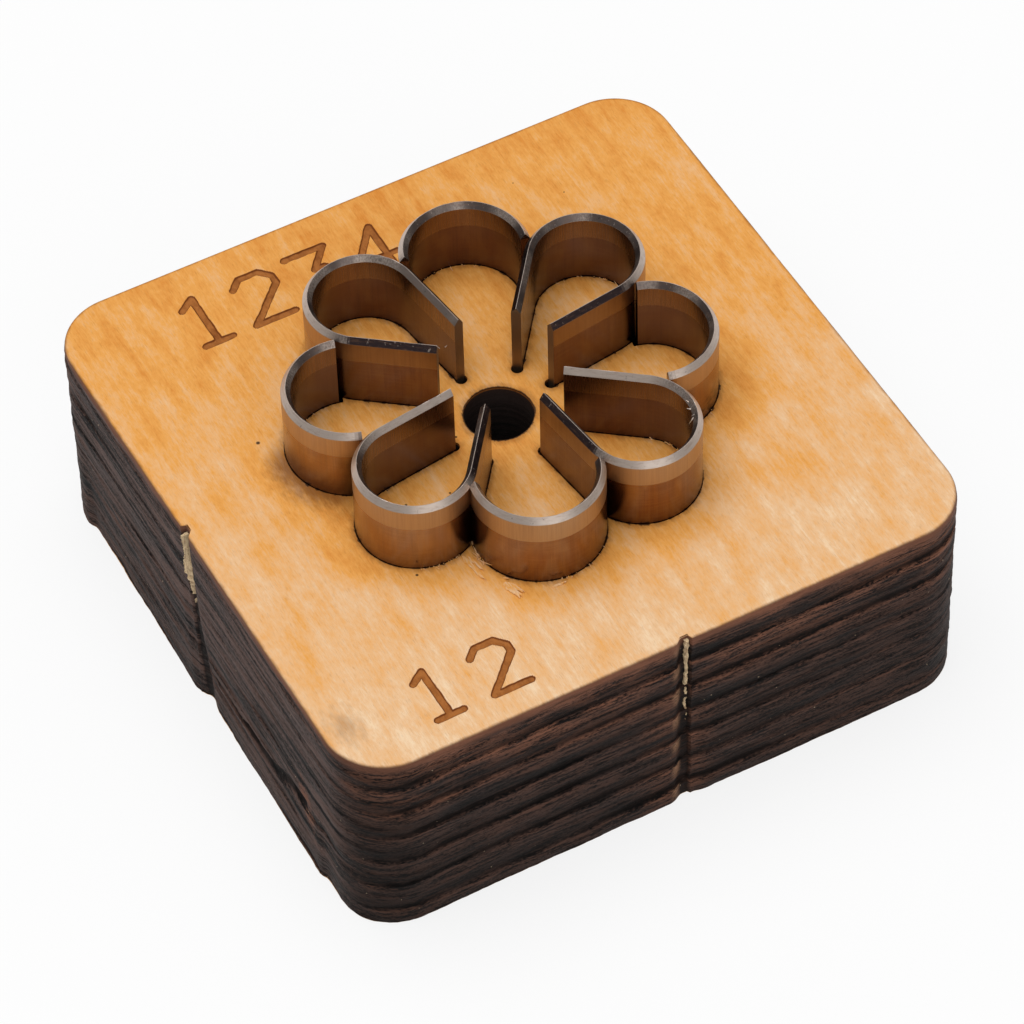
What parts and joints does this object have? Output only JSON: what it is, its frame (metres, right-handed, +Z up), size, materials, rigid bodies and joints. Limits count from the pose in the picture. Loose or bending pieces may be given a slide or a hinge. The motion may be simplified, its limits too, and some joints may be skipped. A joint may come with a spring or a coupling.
{
  "type": "steel rule die",
  "caption": "Plywood block with bent steel cutting rules set on edge in a flower outline, pressed onto felt, leather or paper to cut the shape.",
  "frame": {"origin": "middle of the board's underside", "axes": "+Z up along the rules to their cutting edges, +X and +Y along the board's sides"},
  "size_m": [0.0494, 0.0488, 0.0238],
  "materials": {
    "plywood": "varnished birch face, laser-charred sides",
    "rule_steel": "satin, browned by oil, bright ground bevel"
  },
  "bodies": {
    "root": {"die_board": "plywood", "loop_rule_1": "rule_steel", "loop_rule_2": "rule_steel", "loop_rule_3": "rule_steel", "loop_rule_4": "rule_steel", "arc_rule_1": "rule_steel", "arc_rule_2": "rule_steel", "arc_rule_3": "rule_steel", "arc_rule_4": "rule_steel"}
  },
  "joints": []
}
